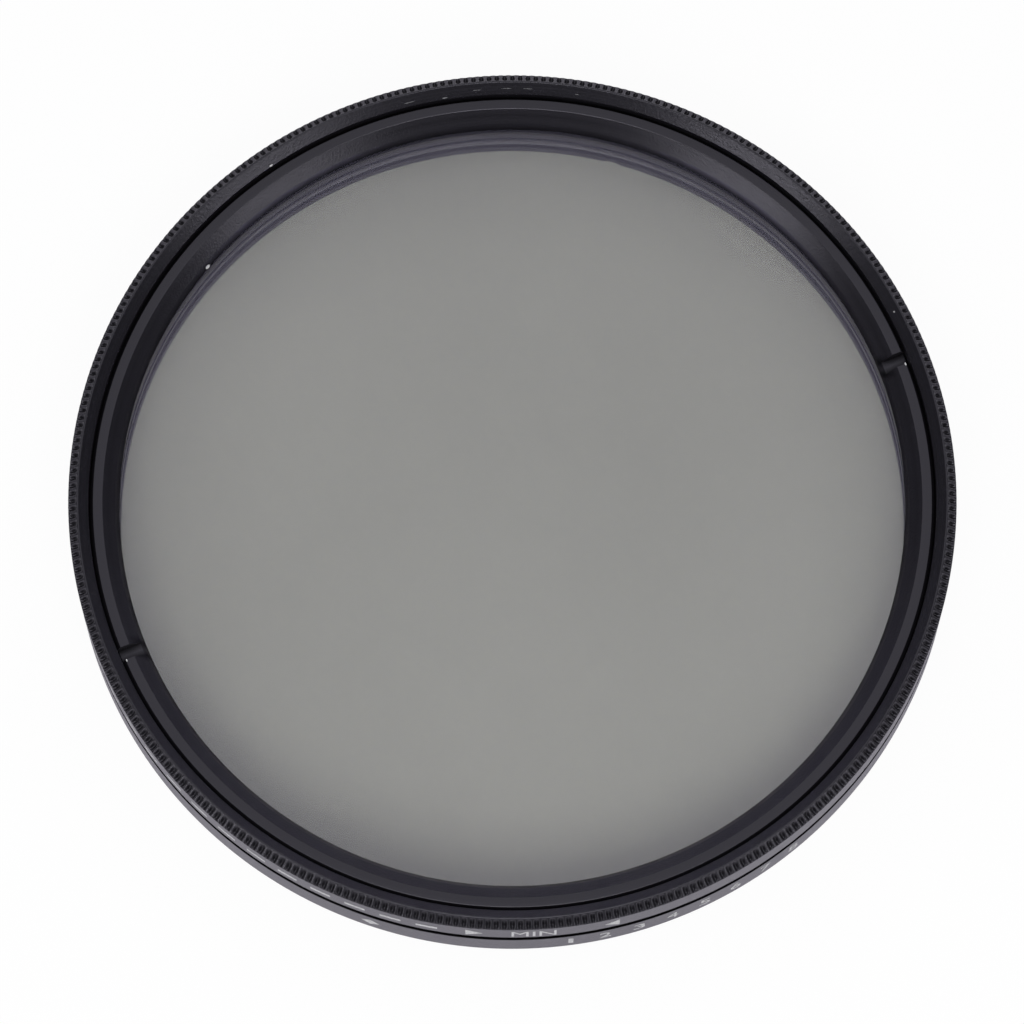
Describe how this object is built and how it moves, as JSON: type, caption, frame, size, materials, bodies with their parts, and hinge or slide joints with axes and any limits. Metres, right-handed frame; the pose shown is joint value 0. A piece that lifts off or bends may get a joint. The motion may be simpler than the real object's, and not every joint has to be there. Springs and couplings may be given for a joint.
{
  "type": "variable nd filter",
  "caption": "Round screw-in camera filter: a knurled front ring turns on a threaded rear ring, and crossed polarisers in glass darken the view as it turns.",
  "frame": {"origin": "on the optical axis, in the plane of the rear ring's shoulder that seats on the lens", "axes": "+Z along the optical axis, out of the front of the filter; +X to the right in the picture, and -Y towards its viewer"},
  "size_m": [0.072, 0.072, 0.0108],
  "materials": {
    "anodised_front": "fine satin black anodised",
    "anodised_rear": "fine satin black anodised",
    "coated_glass": "polished, with a faint violet anti-reflection coating",
    "polarising_film": "clear neutral grey film",
    "retarder_film": "clear film",
    "spring_steel": "bright spring steel"
  },
  "bodies": {
    "rear": {"rear_ring": "anodised_rear", "rear_retaining_ring": "anodised_rear", "rear_outer_glass": "coated_glass", "rear_quarter_wave_film": "retarder_film", "rear_polarising_film": "polarising_film", "rear_inner_glass": "coated_glass", "snap_ring": "spring_steel"},
    "front": {"front_ring": "anodised_front", "front_retaining_ring": "anodised_front", "front_inner_glass": "coated_glass", "front_polarising_film": "polarising_film", "front_outer_glass": "coated_glass"}
  },
  "joints": [
    {"name": "front_ring_turn", "type": "hinge", "parent": "rear", "child": "front", "pos_m": [0, 0, 0.0044], "axis": [0, 0, 1], "continuous": true}
  ]
}
